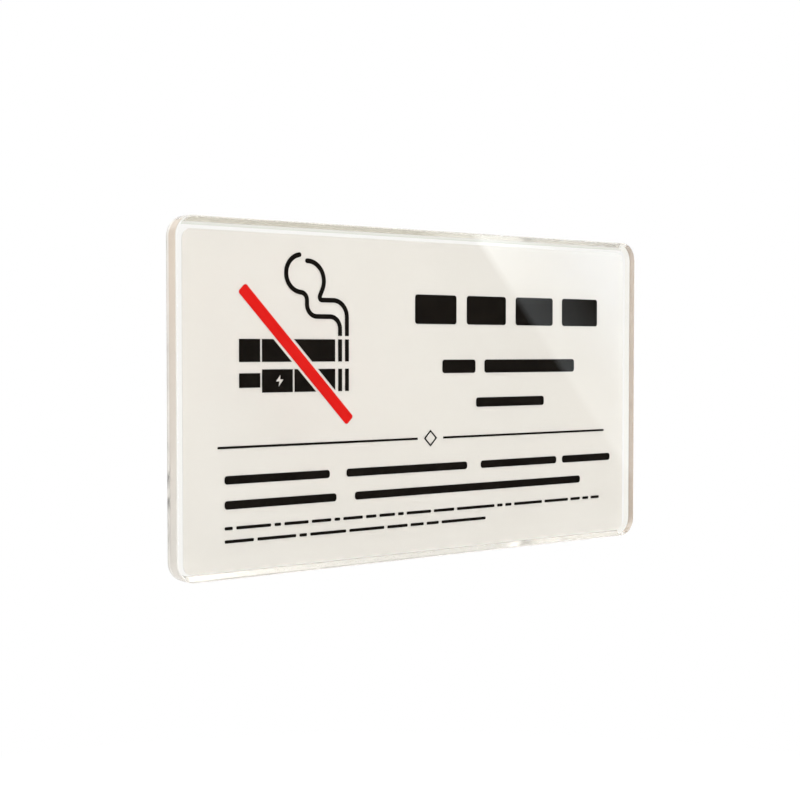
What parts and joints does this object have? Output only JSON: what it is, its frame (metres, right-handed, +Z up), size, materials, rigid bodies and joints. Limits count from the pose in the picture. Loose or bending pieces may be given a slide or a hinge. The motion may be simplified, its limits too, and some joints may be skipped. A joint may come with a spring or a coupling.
{
  "type": "no smoking sign",
  "caption": "Flat clear acrylic wall sign with round corners, back-printed with a no smoking pictogram, a divider and plain text bars, stuck up with foam tape",
  "frame": {"origin": "The middle of the wall face: the wall lies at Y = 0, where the foam tape's adhesive face is, and the origin is behind the middle of the plate.", "axes": "The printed front faces -Y and the wall is on the +Y side. X runs along the sign's width, with the pictogram at -X. Z is up."},
  "size_m": [0.18, 0.0078, 0.1],
  "materials": {
    "clear_acrylic": "clear, polished, seen through",
    "printed_ground": "warm white print, smooth",
    "black_ink": "printed, semi-gloss",
    "red_ink": "printed, semi-gloss",
    "foam_tape": "white closed-cell foam, matt"
  },
  "bodies": {
    "root": {"acrylic_plate": "clear_acrylic", "cigarette_band_1": "black_ink", "cigarette_band_2": "black_ink", "cigarette_body_left": "black_ink", "cigarette_body_right": "black_ink", "cigarette_filter": "black_ink", "divider_diamond": "black_ink", "divider_left": "black_ink", "divider_right": "black_ink", "ecig_band_1": "black_ink", "ecig_band_2": "black_ink", "ecig_battery": "black_ink", "ecig_body_left": "black_ink", "ecig_body_right": "black_ink", "ecig_tip": "black_ink", "foam_tape_1": "foam_tape", "foam_tape_2": "foam_tape", "foam_tape_3": "foam_tape", "note_bar_1": "black_ink", "print_film": "printed_ground", "red_bar": "red_ink", "smoke_line_high": "black_ink", "smoke_line_low": "black_ink", "subtitle_bar_1": "black_ink", "subtitle_bar_2": "black_ink", "text_1_bar_1": "black_ink", "text_1_bar_2": "black_ink", "text_1_bar_3": "black_ink", "text_1_bar_4": "black_ink", "text_2_bar_1": "black_ink", "text_2_bar_2": "black_ink", "title_block_1": "black_ink", "title_block_2": "black_ink", "title_block_3": "black_ink", "title_block_4": "black_ink"}
  },
  "joints": []
}
